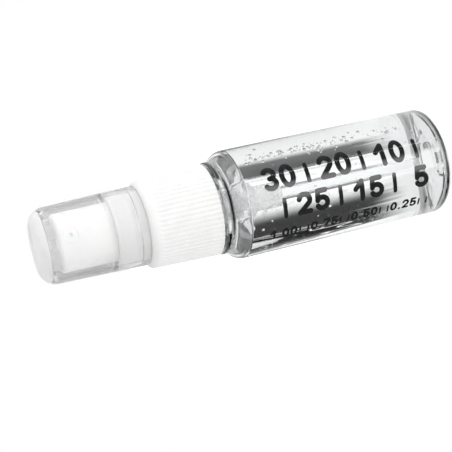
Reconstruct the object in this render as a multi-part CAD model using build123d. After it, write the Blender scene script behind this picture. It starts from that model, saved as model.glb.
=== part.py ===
from build123d import *
import math
import os

# Pocket pump-spray bottle of lens cleaning liquid, standing upright, in millimetres.
# Origin at the centre of the foot, +Z up along the axis, nozzle facing -Y.

# ---------------------------------------------------------------- driving dimensions
# Bottle
body_radius = 15.0
shoulder_height = 64.6
wall = 1.0
base_wall = 1.6
heel_fillet = 2.3
shoulder_fillet = 4.0
push_up = 1.2
foot_ring_width = 5.2
push_up_slope_width = 4.8
base_fillet = 1.6
headspace = 5.0
liquid_skin = 0.02

# Neck finish, 20 mm closure size
neck_height = 15.4
neck_root_radius = 9.1
neck_wall = 1.5
neck_groove_stand = 1.5
neck_groove_height = 0.6
neck_ring_stand = 3.6
neck_ring_height = 1.4

# Screw thread
thread_pitch = 3.175
thread_turns = 1.5
thread_depth = 0.9
thread_root_width = 2.1
thread_crest_width = 0.8
thread_drop = 2.3
thread_bite = 0.3
thread_root_clearance = 0.25
thread_crest_clearance = 0.15
nut_root_width = 1.9
nut_crest_width = 0.7

# Screw collar with the turret that the overcap snaps over
collar_rim_gap = 0.7
skirt_wall = 2.35
skirt_draft = 0.6
collar_corner_fillet = 1.7
collar_rim_chamfer = 0.4
web_thickness = 2.2
deck_rise = 4.5
deck_ledge = 2.8
turret_wall = 1.05
turret_rise = 8.4
turret_lip_fillet = 0.35
snap_height = 1.2
snap_rise = 2.4
snap_stand = 0.25
rib_count = 60
rib_groove_radius = 0.42
rib_groove_depth = 0.25
rib_top_gap = 0.9

# Overcap
cap_wall = 1.04
cap_draft = 0.74
cap_headroom = 2.9
cap_crown = 0.65
cap_crown_flat_radius = 3.0
cap_crown_fillet = 40.0
cap_edge_fillet = 4.3
cap_ceiling_thickness = 2.8
cap_cavity_top_gap = 0.9
cap_cavity_low_gap = 1.2
cap_cavity_fillet = 0.6
cap_step_gap = 0.6
cap_step_height = 0.6
snap_pass_clearance = 0.05

# Actuator button and its nozzle
stroke = 4.5
actuator_rise = 14.8
actuator_tuck = 3.3
actuator_wall = 1.0
actuator_roof = 1.6
actuator_edge_fillet = 1.2
actuator_dish_depth = 0.5
actuator_dish_radius = 6.0
post_wall = 1.45
post_tuck = 1.0
post_rib_thickness = 1.0
post_rib_count = 3
post_rib_gap = 2.5
nozzle_drop = 3.4
nozzle_radius = 2.0
nozzle_pocket_depth = 3.1
nozzle_boss_wall = 0.9
nozzle_recess = 0.15
nozzle_face = 0.8
swirl_pin_radius = 0.9
swirl_gap = 0.25
feed_radius = 0.4
feed_length = 1.0
orifice_radius = 0.15
orifice_flare_radius = 0.6
orifice_flare_depth = 0.5

# Pump
gasket_thickness = 1.0
flange_stand = 0.6
gasket_bore_clearance = 0.1
flange_thickness = 1.4
cup_clearance = 0.9
cup_wall = 1.1
cup_depth = 5.4
cup_floor = 1.4
chamber_radius = 3.1
barrel_wall = 1.0
cage_wall_rise = 0.9
cage_clearance = 0.25
cage_lip_height = 0.3
cage_lip_grip = 0.08
ball_radius = 1.5
ball_lift = 0.6
ball_seat_gap = 0.05
inlet_radius = 0.8
inlet_length = 1.0
tail_wall = 1.0
tail_length = 6.0
tube_radius = 1.5
tube_wall = 0.6
tube_floor_gap = 1.2
sink_clearance = 0.3

# Stem, piston and springs
stem_radius = 1.75
stem_bore_radius = 0.8
stem_socket_depth = 7.5
stem_flange_clearance = 0.3
stem_flange_height = 1.0
stem_foot_wall = 0.5
seal_thickness = 0.8
gland_boss_step = 0.6
gland_boss_rise = 1.8
gland_tube_wall = 1.2
gland_ring_wall = 0.8
gland_floor = 1.6
valve_spring_length = 3.4
valve_spring_clearance = 0.4
valve_spring_wire = 0.3
valve_spring_turns = 4
piston_length = 4.0
piston_waist_depth = 0.55
piston_lip_height = 0.9
piston_seat_gap = 0.05
port_radius = 0.35
port_rise = 1.2
plug_head_stand = 1.0
plug_head_height = 2.4
plug_pin_length = 2.4
plug_guide_radius = 1.2
plug_guide_length = 1.5
return_spring_wire = 0.5
return_spring_turns = 6
return_spring_pressed = 4.15

# Fits
press_fit = 0.02
running_fit = 0.05
turret_gap = 0.3
spring_seat_gap = 0.05

# ---------------------------------------------------------------- radii that follow
inner_radius = body_radius - wall
foot_inner_radius = body_radius - foot_ring_width
push_up_flat_radius = foot_inner_radius - push_up_slope_width
neck_bore_radius = neck_root_radius - neck_wall
neck_groove_radius = neck_root_radius + neck_groove_stand
neck_ring_radius = neck_root_radius + neck_ring_stand
shoulder_round = min(shoulder_fillet, body_radius - neck_groove_radius - wall / 4)
collar_bore_radius = neck_root_radius + thread_depth + thread_root_clearance
collar_rim_radius = collar_bore_radius + skirt_wall
collar_top_radius = collar_rim_radius - skirt_draft
turret_radius = collar_top_radius - deck_ledge
turret_bore_radius = turret_radius - turret_wall
snap_radius = turret_radius + snap_stand
cap_mouth_radius = snap_radius + sink_clearance
cap_rim_radius = cap_mouth_radius + cap_wall
cap_top_radius = cap_rim_radius - cap_draft
actuator_radius = turret_bore_radius - turret_gap
cap_cavity_top_radius = actuator_radius + cap_cavity_top_gap
cap_cavity_low_radius = actuator_radius + cap_cavity_low_gap

gasket_radius = neck_root_radius + flange_stand
cup_radius = neck_bore_radius - cup_clearance
cup_bore_radius = cup_radius - cup_wall
gland_boss_radius = cup_bore_radius - gland_boss_step
barrel_radius = chamber_radius + barrel_wall
cage_radius = ball_radius + cage_clearance
cage_lip_radius = ball_radius - cage_lip_grip
tail_radius = tube_radius + tail_wall
tube_bore_radius = tube_radius - tube_wall
socket_radius = tube_radius + press_fit
post_radius = stem_radius + post_wall
gland_hole_radius = stem_radius + running_fit
stem_flange_radius = chamber_radius - stem_flange_clearance
stem_foot_radius = stem_bore_radius + stem_foot_wall
plug_head_radius = stem_foot_radius + plug_head_stand
piston_lip_radius = chamber_radius - running_fit
piston_waist_radius = piston_lip_radius - piston_waist_depth
return_spring_radius = plug_head_radius - return_spring_wire / 2
valve_spring_radius = stem_foot_radius + valve_spring_clearance + valve_spring_wire / 2

# ---------------------------------------------------------------- heights that follow
ring_bottom = shoulder_height + neck_groove_height
ring_top = ring_bottom + neck_ring_height
land = shoulder_height + neck_height
flange_bottom = land + gasket_thickness
ceiling = flange_bottom + flange_thickness
web_top = ceiling + web_thickness
deck = ceiling + deck_rise
turret_top = deck + turret_rise
collar_rim = ring_top + collar_rim_gap
actuator_top = turret_top + actuator_rise
actuator_bottom = turret_top - actuator_tuck
nozzle_height = actuator_top - nozzle_drop
cap_top = actuator_top + cap_headroom + cap_ceiling_thickness
liquid_level = shoulder_height - headspace

cup_bottom = ceiling - cup_depth
seal_top = cup_bottom + seal_thickness
stem_flange_bottom = cup_bottom - stem_flange_height
piston_top = stem_flange_bottom - valve_spring_length
piston_bottom = piston_top - piston_length
plug_head_top = piston_bottom - piston_seat_gap
plug_head_bottom = plug_head_top - plug_head_height
chamber_floor = plug_head_bottom - stroke - return_spring_pressed
lip_bottom = chamber_floor - cage_lip_height
ball_height = lip_bottom - math.sqrt(ball_radius**2 - cage_lip_radius**2) - ball_lift - ball_seat_gap
seat_apex = ball_height - (ball_radius + ball_seat_gap) * math.sqrt(2)
barrel_bottom = seat_apex + cage_radius + cage_wall_rise
tube_top = seat_apex + inlet_radius - inlet_length
tail_bottom = tube_top - tail_length
floor_height = push_up + base_wall
tube_bottom = floor_height + tube_floor_gap
stem_bottom = plug_head_top
stem_top = actuator_bottom + post_tuck + stem_socket_depth


# ---------------------------------------------------------------- shape helpers
def turned(*corners):
    """Solid turned about Z from corners (radius, height), each with an optional fillet radius."""
    points = [corner[:2] for corner in corners]
    fillets = [corner[2] if len(corner) > 2 else 0 for corner in corners]
    outline = FilletPolyline(*points, radius=fillets, close=True)
    return revolve(Plane.XZ * make_face(outline), Axis.Z)


def tube(outer, inner, bottom, top):
    """Plain ring between two heights."""
    return turned((inner, bottom), (outer, bottom), (outer, top), (inner, top))


def rod(radius, bottom, top):
    """Plain cylinder on the axis between two heights."""
    return Pos(0, 0, bottom) * Cylinder(radius, top - bottom, align=(Align.CENTER, Align.CENTER, Align.MIN))


def facing_rod(radius, near, far, height):
    """Cylinder that runs along -Y from depth near to depth far at the given height."""
    start = Plane(origin=(0, -near, height), x_dir=(1, 0, 0), z_dir=(0, -1, 0))
    return start * Cylinder(radius, far - near, align=(Align.CENTER, Align.CENTER, Align.MIN))


def helical_ridge(foot_radius, tip_radius, foot_width, tip_width, start):
    """Thread ridge of trapezoid section; its foot is buried by thread_bite in the wall it grows from."""
    path = Helix(thread_pitch, thread_pitch * thread_turns, foot_radius, center=(0, 0, start))
    outward = 1 if tip_radius > foot_radius else -1
    depth = tip_radius - foot_radius
    section = make_face(
        Polyline(
            (-outward * thread_bite, -foot_width / 2),
            (0, -foot_width / 2),
            (depth, -tip_width / 2),
            (depth, tip_width / 2),
            (0, foot_width / 2),
            (-outward * thread_bite, foot_width / 2),
            close=True,
        )
    )
    across = Plane(origin=path @ 0, x_dir=(1, 0, 0), z_dir=path % 0)
    return sweep(across * section, path=path, is_frenet=True)


def coil(radius, wire, turns, bottom, top):
    """Round-wire helix whose wire lies between two heights."""
    path = Helix((top - bottom - wire) / turns, top - bottom - wire, radius, center=(0, 0, bottom + wire / 2))
    across = Plane(origin=path @ 0, z_dir=path % 0)
    return sweep(across * Circle(wire / 2), path=path, is_frenet=True)


# ---------------------------------------------------------------- bottle and contents
def make_bottle():
    """Blown bottle: pushed-up foot, straight body, rounded shoulder, ringed and threaded neck."""
    shell = turned(
        (0, push_up),
        (push_up_flat_radius, push_up, base_fillet),
        (foot_inner_radius, 0, base_fillet / 4),
        (body_radius, 0, heel_fillet),
        (body_radius, shoulder_height, shoulder_round),
        (neck_groove_radius, shoulder_height),
        (neck_groove_radius, ring_bottom),
        (neck_ring_radius, ring_bottom, neck_ring_height / 4),
        (neck_ring_radius, ring_top, neck_ring_height / 4),
        (neck_root_radius, ring_top, neck_ring_height / 4),
        (neck_root_radius, land, wall / 4),
        (neck_bore_radius, land, wall / 4),
        (neck_bore_radius, shoulder_height - wall, wall),
        (inner_radius, shoulder_height - wall, shoulder_round - wall),
        (inner_radius, base_wall, heel_fillet - wall / 2),
        (foot_inner_radius, base_wall, base_fillet / 4),
        (push_up_flat_radius, floor_height, base_fillet),
        (0, floor_height),
    )
    thread_start = land - thread_drop - thread_pitch * thread_turns
    ridge = helical_ridge(
        neck_root_radius, neck_root_radius + thread_depth, thread_root_width, thread_crest_width, thread_start
    )
    return shell + ridge


def make_liquid():
    """Filling up to its level, with room for the dip tube and for the pump that hangs in it."""
    outer = inner_radius - liquid_skin
    bottom = base_wall + liquid_skin
    dome = floor_height + liquid_skin
    tube_room = tube_radius + sink_clearance
    tail_room = tail_radius + sink_clearance
    barrel_room = barrel_radius + sink_clearance
    barrel_foot = barrel_bottom - sink_clearance
    filling = turned(
        (0, dome),
        (push_up_flat_radius, dome, base_fillet),
        (foot_inner_radius, bottom, base_fillet / 4),
        (outer, bottom, heel_fillet - wall / 2),
        (outer, liquid_level),
        (0, liquid_level),
    )
    sunk = turned(
        (0, tube_bottom - sink_clearance),
        (tube_room, tube_bottom - sink_clearance),
        (tube_room, tail_bottom - sink_clearance),
        (tail_room, tail_bottom - sink_clearance),
        (tail_room, barrel_foot - (barrel_radius - tail_radius)),
        (barrel_room, barrel_foot),
        (barrel_room, land),
        (0, land),
    )
    return filling - sunk


# ---------------------------------------------------------------- closure
def make_collar():
    """Screw collar: ribbed skirt, threaded bore, web with a pump hole, and the hollow turret."""
    web_hole = gland_boss_radius + running_fit
    snap_bottom = deck + snap_rise
    blank = turned(
        (collar_bore_radius, collar_rim, collar_rim_chamfer),
        (collar_rim_radius, collar_rim, collar_rim_chamfer),
        (collar_top_radius, deck, collar_corner_fillet),
        (turret_radius, deck),
        (turret_radius, snap_bottom),
        (snap_radius, snap_bottom + snap_height / 3),
        (snap_radius, snap_bottom + snap_height / 2),
        (turret_radius, snap_bottom + snap_height),
        (turret_radius, turret_top, turret_lip_fillet),
        (turret_bore_radius, turret_top, turret_lip_fillet),
        (turret_bore_radius, web_top, turret_lip_fillet),
        (web_hole, web_top),
        (web_hole, ceiling),
        (collar_bore_radius, ceiling),
    )
    nut_start = land - thread_drop - thread_pitch * (thread_turns + 0.5)
    nut_tip = neck_root_radius + thread_crest_clearance
    ridge = helical_ridge(collar_bore_radius, nut_tip, nut_root_width, nut_crest_width, nut_start)
    skirt_length = deck - collar_rim
    lean = math.degrees(math.atan2(collar_rim_radius - collar_top_radius, skirt_length))
    groove_top = deck - collar_corner_fillet - rib_top_gap
    groove_length = 2 * (groove_top - collar_rim)
    offset = rib_groove_radius - rib_groove_depth
    groove = Pos(collar_rim_radius + offset, 0, collar_rim) * Rot(0, -lean, 0)
    groove = groove * Cylinder(rib_groove_radius, groove_length)
    grooves = [Rot(0, 0, 360 * index / rib_count) * groove for index in range(rib_count)]
    return blank + ridge - grooves


def make_overcap():
    """Clear cap: thick crowned end, tapered wall, and a wider mouth with a snap bead."""
    bead_radius = snap_radius + snap_pass_clearance
    bead_top = deck + snap_rise - snap_pass_clearance
    step_bottom = turret_top + cap_step_gap
    ceiling_height = cap_top - cap_ceiling_thickness
    return turned(
        (0, cap_top),
        (cap_crown_flat_radius, cap_top, cap_crown_fillet),
        (cap_top_radius, cap_top - cap_crown, cap_edge_fillet),
        (cap_rim_radius, deck),
        (cap_mouth_radius, deck),
        (cap_mouth_radius, bead_top - snap_height),
        (bead_radius, bead_top - snap_height / 2),
        (bead_radius, bead_top - snap_height / 3),
        (cap_mouth_radius, bead_top),
        (cap_mouth_radius, step_bottom),
        (cap_cavity_low_radius, step_bottom + cap_step_height),
        (cap_cavity_top_radius, ceiling_height, cap_cavity_fillet),
        (0, ceiling_height),
    )


# ---------------------------------------------------------------- actuator
def make_actuator():
    """Finger button: skirted shell, central post with the stem socket, and the nozzle pocket."""
    cavity_top = actuator_top - actuator_roof
    shell = turned(
        (0, actuator_top),
        (actuator_radius, actuator_top, actuator_edge_fillet),
        (actuator_radius, actuator_bottom, actuator_wall / 4),
        (actuator_radius - actuator_wall, actuator_bottom, actuator_wall / 4),
        (actuator_radius - actuator_wall, cavity_top, actuator_wall / 2),
        (0, cavity_top),
    )
    dish_sphere = (actuator_dish_radius**2 + actuator_dish_depth**2) / (2 * actuator_dish_depth)
    dish = Pos(0, 0, actuator_top - actuator_dish_depth + dish_sphere) * Sphere(dish_sphere)
    post_bottom = actuator_bottom + post_tuck
    post = rod(post_radius, post_bottom, cavity_top + actuator_roof / 2)
    boss = facing_rod(nozzle_radius + nozzle_boss_wall, 0, actuator_radius - actuator_wall / 2, nozzle_height)
    body = shell + post + boss
    rib_length = actuator_radius - actuator_wall / 2
    rib_bottom = post_bottom + post_rib_gap
    rib_place = (Align.MIN, Align.CENTER, Align.MIN)
    rib_height = cavity_top - rib_bottom
    rib = Pos(0, 0, rib_bottom) * Box(rib_length, post_rib_thickness, rib_height, align=rib_place)
    first_rib = 90
    for index in range(post_rib_count):
        body += Rot(0, 0, first_rib + 360 * index / post_rib_count) * rib
    pocket_bottom = actuator_radius - nozzle_pocket_depth
    pin_end = actuator_radius - nozzle_recess - nozzle_face - swirl_gap
    pocket = facing_rod(nozzle_radius, pocket_bottom, 2 * actuator_radius, nozzle_height)
    pocket -= facing_rod(swirl_pin_radius, pocket_bottom, pin_end, nozzle_height)
    body -= dish
    body -= pocket
    body -= rod(stem_radius + press_fit, post_bottom, stem_top)
    body -= rod(stem_bore_radius, stem_top, nozzle_height)
    feed_start = pocket_bottom - feed_length
    feed_end = pocket_bottom + swirl_gap
    body -= facing_rod(stem_bore_radius, 0, feed_start, nozzle_height)
    for side in (-1, 1):
        feed_hole = facing_rod(feed_radius, feed_start - feed_radius, feed_end, nozzle_height)
        body -= Pos(side * (swirl_pin_radius + swirl_gap / 2), 0, 0) * feed_hole
    return body


def make_nozzle():
    """Cup-shaped insert over the swirl pin, with a flared spray hole in its face."""
    start = actuator_radius - nozzle_pocket_depth
    end = actuator_radius - nozzle_recess
    insert = facing_rod(nozzle_radius - press_fit, start, end, nozzle_height)
    insert -= facing_rod(swirl_pin_radius + swirl_gap, start, end - nozzle_face, nozzle_height)
    insert -= facing_rod(orifice_radius, start, end, nozzle_height)
    flare_plane = Plane(origin=(0, -end, nozzle_height), x_dir=(1, 0, 0), z_dir=(0, 1, 0))
    flare_place = (Align.CENTER, Align.CENTER, Align.MIN)
    insert -= flare_plane * Cone(orifice_flare_radius, orifice_radius, orifice_flare_depth, align=flare_place)
    return insert


# ---------------------------------------------------------------- pump
def make_gasket():
    """Flat foam ring between the bottle's land and the pump's flange."""
    return tube(gasket_radius, neck_bore_radius + gasket_bore_clearance, land, flange_bottom)


def make_housing():
    """Pump housing: flange, seal cup, barrel, ball cage with its cone seat, and the tube socket."""
    cup_outer_bottom = cup_bottom - cup_floor
    cone_drop = cup_radius - barrel_radius
    seat_top = seat_apex + cage_radius
    return turned(
        (cup_bore_radius, ceiling),
        (gasket_radius, ceiling),
        (gasket_radius, flange_bottom),
        (cup_radius, flange_bottom),
        (cup_radius, cup_outer_bottom),
        (barrel_radius, cup_outer_bottom - cone_drop),
        (barrel_radius, barrel_bottom),
        (tail_radius, barrel_bottom - (barrel_radius - tail_radius)),
        (tail_radius, tail_bottom),
        (socket_radius, tail_bottom),
        (socket_radius, tube_top),
        (inlet_radius, tube_top),
        (inlet_radius, seat_apex + inlet_radius),
        (cage_radius, seat_top),
        (cage_radius, lip_bottom),
        (cage_lip_radius, lip_bottom),
        (cage_lip_radius, chamber_floor),
        (chamber_radius, chamber_floor),
        (chamber_radius, cup_bottom),
        (cup_bore_radius, cup_bottom),
    )


def make_seal():
    """Rubber ring that wipes the stem at the bottom of the cup."""
    return tube(cup_bore_radius - press_fit, gland_hole_radius, cup_bottom, seal_top)


def make_gland():
    """Snap-in guide that holds the seal down and keeps the stem upright."""
    boss_top = ceiling + gland_boss_rise
    gutter_floor = seal_top + gland_floor
    return turned(
        (gland_hole_radius, seal_top),
        (cup_bore_radius - press_fit, seal_top),
        (cup_bore_radius - press_fit, ceiling),
        (gland_boss_radius, ceiling),
        (gland_boss_radius, boss_top),
        (gland_boss_radius - gland_ring_wall, boss_top),
        (gland_boss_radius - gland_ring_wall, gutter_floor),
        (gland_hole_radius + gland_tube_wall, gutter_floor),
        (gland_hole_radius + gland_tube_wall, boss_top),
        (gland_hole_radius, boss_top),
    )


def make_stem():
    """Hollow stem: long upper tube, stop flange, and a thinner foot with the inlet ports."""
    stem = turned(
        (stem_bore_radius, stem_bottom),
        (stem_foot_radius, stem_bottom),
        (stem_foot_radius, stem_flange_bottom),
        (stem_flange_radius, stem_flange_bottom),
        (stem_flange_radius, cup_bottom),
        (stem_radius, cup_bottom),
        (stem_radius, stem_top),
        (stem_bore_radius, stem_top),
    )
    port_height = stem_bottom + plug_pin_length + port_rise
    port = Pos(0, 0, port_height) * Rot(90, 0, 0) * Cylinder(port_radius, 4 * stem_foot_radius)
    return stem - port


def make_plug():
    """Plug in the stem's foot: pin, coned valve head that the piston sits on, and spring guide."""
    cone_height = plug_head_radius - stem_foot_radius
    return turned(
        (0, plug_head_top + plug_pin_length),
        (stem_bore_radius - press_fit, plug_head_top + plug_pin_length),
        (stem_bore_radius - press_fit, plug_head_top),
        (stem_foot_radius, plug_head_top),
        (plug_head_radius, plug_head_top - cone_height),
        (plug_head_radius, plug_head_bottom),
        (plug_guide_radius, plug_head_bottom),
        (plug_guide_radius, plug_head_bottom - plug_guide_length),
        (0, plug_head_bottom - plug_guide_length),
    )


def make_piston():
    """Piston that slides on the stem's foot and wipes the barrel with two lips."""
    bore = stem_foot_radius + running_fit
    return turned(
        (bore, piston_bottom),
        (piston_lip_radius, piston_bottom),
        (piston_lip_radius, piston_bottom + piston_lip_height / 2),
        (piston_waist_radius, piston_bottom + piston_lip_height),
        (piston_waist_radius, piston_top - piston_lip_height),
        (piston_lip_radius, piston_top - piston_lip_height / 2),
        (piston_lip_radius, piston_top),
        (bore, piston_top),
    )


def make_return_spring():
    """Main spring between the plug's head and the chamber's floor."""
    bottom = chamber_floor + spring_seat_gap
    top = plug_head_bottom - spring_seat_gap
    return coil(return_spring_radius, return_spring_wire, return_spring_turns, bottom, top)


def make_valve_spring():
    """Small spring that keeps the piston on the plug's cone."""
    bottom = piston_top + spring_seat_gap
    top = stem_flange_bottom - spring_seat_gap
    return coil(valve_spring_radius, valve_spring_wire, valve_spring_turns, bottom, top)


def make_ball():
    """Check ball, resting just clear of its cone seat."""
    return Pos(0, 0, ball_height) * Sphere(ball_radius)


def make_dip_tube():
    """Suction tube, cut square at the top and slanted at the bottom."""
    blank = tube(tube_radius, tube_bore_radius, tube_bottom, tube_top)
    slant = Pos(0, 0, tube_bottom) * Rot(0, 45, 0)
    below = (Align.CENTER, Align.CENTER, Align.MAX)
    cutter = slant * Box(6 * tube_radius, 6 * tube_radius, 2 * tube_radius, align=below)
    return blank - cutter


pieces = {
    "bottle": make_bottle,
    "cleaning_liquid": make_liquid,
    "screw_collar": make_collar,
    "overcap": make_overcap,
    "actuator": make_actuator,
    "nozzle_insert": make_nozzle,
    "neck_gasket": make_gasket,
    "pump_housing": make_housing,
    "stem_seal": make_seal,
    "pump_gland": make_gland,
    "stem": make_stem,
    "stem_plug": make_plug,
    "piston": make_piston,
    "return_spring": make_return_spring,
    "valve_spring": make_valve_spring,
    "check_ball": make_ball,
    "dip_tube": make_dip_tube,
}

os.makedirs("parts", exist_ok=True)
for name, make in pieces.items():
    export_step(make(), f"parts/{name}.step")
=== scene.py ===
"""Pocket pump-spray bottle of lens cleaning liquid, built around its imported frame.

The bottle stands on its foot at the origin, +Z up, and its nozzle faces -Y. Outlines are
(radius, height) in millimetres, and every mesh is stored in metres."""
import math

import bpy
import numpy as np
from mathutils import Matrix, Vector


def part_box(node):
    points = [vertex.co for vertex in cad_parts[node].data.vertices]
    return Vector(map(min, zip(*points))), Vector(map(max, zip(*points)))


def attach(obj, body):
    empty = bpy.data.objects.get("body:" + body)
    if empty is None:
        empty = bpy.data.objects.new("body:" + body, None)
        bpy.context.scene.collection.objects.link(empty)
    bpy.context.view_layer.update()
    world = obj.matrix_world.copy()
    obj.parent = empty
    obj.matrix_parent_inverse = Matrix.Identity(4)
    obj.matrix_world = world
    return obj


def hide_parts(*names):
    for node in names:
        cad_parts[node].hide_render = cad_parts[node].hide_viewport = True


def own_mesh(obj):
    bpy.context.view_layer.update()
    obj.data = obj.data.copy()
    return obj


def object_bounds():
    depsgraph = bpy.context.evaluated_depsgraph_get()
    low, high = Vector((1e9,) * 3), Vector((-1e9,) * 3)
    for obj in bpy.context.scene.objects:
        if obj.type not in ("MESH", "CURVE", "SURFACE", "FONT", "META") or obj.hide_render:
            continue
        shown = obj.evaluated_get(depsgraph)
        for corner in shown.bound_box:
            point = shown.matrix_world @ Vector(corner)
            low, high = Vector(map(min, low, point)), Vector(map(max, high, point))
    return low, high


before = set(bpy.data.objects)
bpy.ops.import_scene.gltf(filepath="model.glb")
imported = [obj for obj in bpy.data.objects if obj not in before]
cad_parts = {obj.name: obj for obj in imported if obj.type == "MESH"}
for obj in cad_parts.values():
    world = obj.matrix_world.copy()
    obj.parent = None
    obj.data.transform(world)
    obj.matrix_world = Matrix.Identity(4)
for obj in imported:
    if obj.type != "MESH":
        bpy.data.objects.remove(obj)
cad_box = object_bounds()

MM = 0.001
SEGMENTS = 192
view_angle = math.radians(-99.8)


# ---------------- sizes read from the frame
def low(node):
    """Lowest corner of a CAD node, in millimetres."""
    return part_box(node)[0] / MM


def high(node):
    """Highest corner of a CAD node, in millimetres."""
    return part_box(node)[1] / MM


ink_thickness = 0.03
body_radius = high("bottle").x - ink_thickness
wall = 1.0
inner_radius = body_radius - wall
foot_radius = 9.8
push_up_radius = 5.0
push_up = 1.2
base_wall = 1.6
land = high("bottle").z
shoulder = land - 15.4
ring_bottom = shoulder + 0.6
ring_top = ring_bottom + 1.4
neck_radius = 9.1
neck_bore = neck_radius - 1.5
pitch = 3.175
thread_turns = 1.5
thread_top = land - 2.3

liquid_level = high("cleaning_liquid").z
wet_line = liquid_level + 0.9

collar_radius = high("screw_collar").x
collar_rim = low("screw_collar").z
turret_top = high("screw_collar").z
deck = turret_top - 8.4
collar_bore = collar_radius - 2.35
collar_top_radius = collar_radius - 0.6
turret_radius = collar_top_radius - 2.8
turret_bore = turret_radius - 1.05
ceiling = high("pump_housing").z
web_top = ceiling + 2.2
web_bore = 5.05
rib_count = 60
rib_depth = 0.25
rib_curve = 0.42
rib_top = deck - 2.6

cap_radius = high("overcap").x
cap_top = high("overcap").z
cap_mouth = low("overcap").z
cap_ceiling = cap_top - 2.8
cap_bore = 9.75

button_radius = high("actuator").x
button_bottom = low("actuator").z
button_top = high("actuator").z
nozzle_height = (low("nozzle_insert").z + high("nozzle_insert").z) / 2
nozzle_radius = (high("nozzle_insert").z - low("nozzle_insert").z) / 2
nozzle_face = -low("nozzle_insert").y
nozzle_back = -high("nozzle_insert").y
stem_top = high("stem").z

tube_radius = high("dip_tube").x
tube_bore = tube_radius - 0.6
tube_top = high("dip_tube").z
tube_bottom = low("dip_tube").z
tail_bottom = low("pump_housing").z
tail_radius = tube_radius + 1.0
barrel_radius = 4.1
barrel_foot = ceiling - 25.95
liquid_gap = 0.03


# ---------------- shapes
def rounded(corners, closed=False, step=8.0):
    """Outline through corners (radius, height, rounding), in millimetres.

    A rounding is the arc tangent to both sides of its corner. It starts at rounding divided by the
    tangent of half the corner's angle, and turns in even steps of at most step degrees."""
    places = np.array([c[:2] for c in corners], float)
    curves = [c[2] if len(c) > 2 else 0.0 for c in corners]
    made = []
    for i, (place, curve) in enumerate(zip(places, curves)):
        if not curve or (not closed and i in (0, len(places) - 1)):
            made.append(place[None])
            continue
        back = places[i - 1] - place
        ahead = places[(i + 1) % len(places)] - place
        back /= np.linalg.norm(back)
        ahead /= np.linalg.norm(ahead)
        half = math.acos(float(np.clip(back @ ahead, -1, 1))) / 2
        middle = (back + ahead) / np.linalg.norm(back + ahead)
        centre = place + middle * curve / math.sin(half)
        first = place + back * curve / math.tan(half) - centre
        last = place + ahead * curve / math.tan(half) - centre
        turn = math.atan2(first[0] * last[1] - first[1] * last[0], float(first @ last))
        count = max(3, math.ceil(abs(math.degrees(turn)) / step) + 1)
        angle = math.atan2(first[1], first[0]) + np.linspace(0, turn, count)
        made.append(centre + curve * np.stack([np.cos(angle), np.sin(angle)], 1))
    return np.concatenate(made)


def smooth_step(x):
    """0 below 0, 1 above 1, and 3 x^2 - 2 x^3 between."""
    x = np.clip(x, 0, 1)
    return x * x * (3 - 2 * x)


def around_z(r, a, h):
    """Points (r cos a, r sin a, h), with radii, angles and heights spread to one grid."""
    return np.stack(np.broadcast_arrays(r * np.cos(a), r * np.sin(a), h), -1).reshape(-1, 3)


def quads(rows, columns, close_rows=False):
    """Four-cornered faces of a grid of points whose rows are loops, and each face's row."""
    starts = np.arange(rows if close_rows else rows - 1)
    row, column = np.meshgrid(starts, np.arange(columns), indexing="ij")
    up, along = (row + 1) % rows, (column + 1) % columns
    corners = [(row, column), (row, along), (up, along), (up, column)]
    faces = np.stack([r * columns + c for r, c in corners], -1).reshape(-1, 4)
    return faces.tolist(), row.ravel()


def rod_faces(rows, columns):
    """Faces of a bar whose sections are the rows, with a face at each end, and each face's row."""
    faces, starts = quads(rows, columns)
    last = (rows - 1) * columns
    faces = [face[::-1] for face in faces]
    faces += [list(range(columns)), [last + i for i in reversed(range(columns))]]
    return faces, np.concatenate([starts, [0, rows - 2]])


def turned(outline, segments=SEGMENTS, angles=None, inset=None):
    """Outline turned about Z: x = r cos a, y = r sin a, z = h, with r less inset(a, r, h) if given.

    The outline runs anticlockwise in (radius, height), so faces point outwards. An end on the axis
    is one pole point with a fan of triangles, and an outline with no such end is a closed ring."""
    if angles is None:
        angles = np.arange(segments) * 2 * np.pi / segments
    starts, ends = outline[0, 0] < 1e-6, outline[-1, 0] < 1e-6
    rings = outline[int(starts) : len(outline) - int(ends)]
    r, h, a = rings[:, :1], rings[:, 1:], angles[None, :]
    if inset is not None:
        r = r - inset(a, r, h)
    points = around_z(r, a, h)
    columns = len(angles)
    faces, rows = quads(len(rings), columns, close_rows=not (starts or ends))
    here = np.arange(columns)
    following = (here + 1) % columns
    if starts:
        pole = np.full(columns, len(points))
        points = np.concatenate([points, [[0, 0, outline[0, 1]]]])
        faces += np.stack([pole, following, here], 1).tolist()
        rows = np.concatenate([rows, np.zeros(columns, int)])
    if ends:
        pole = np.full(columns, len(points))
        last = (len(rings) - 1) * columns
        points = np.concatenate([points, [[0, 0, outline[-1, 1]]]])
        faces += np.stack([last + here, last + following, pole], 1).tolist()
        rows = np.concatenate([rows, np.full(columns, len(rings) - 2)])
    return points, faces, rows


def joined(*shapes):
    """Several shapes as one, their points one after another."""
    starts = np.cumsum([0] + [len(s[0]) for s in shapes[:-1]])
    faces = [[start + i for i in face] for start, s in zip(starts, shapes) for face in s[1]]
    return np.concatenate([s[0] for s in shapes]), faces, np.concatenate([s[2] for s in shapes])


def welded(shape):
    """Shape with points that share a place, to 0.0001 mm, made one point."""
    near = np.round(shape[0], 4)
    _, first, same = np.unique(near, axis=0, return_index=True, return_inverse=True)
    same = same.ravel()
    return shape[0][first], [[int(same[i]) for i in face] for face in shape[1]], shape[2]


def facing(shape):
    """A shape turned about Z laid down so that its axis points along -Y at the nozzle's height."""
    points = shape[0]
    laid = np.stack([points[:, 0], -points[:, 2], points[:, 1] + nozzle_height], 1)
    return laid, shape[1], shape[2]


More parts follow.
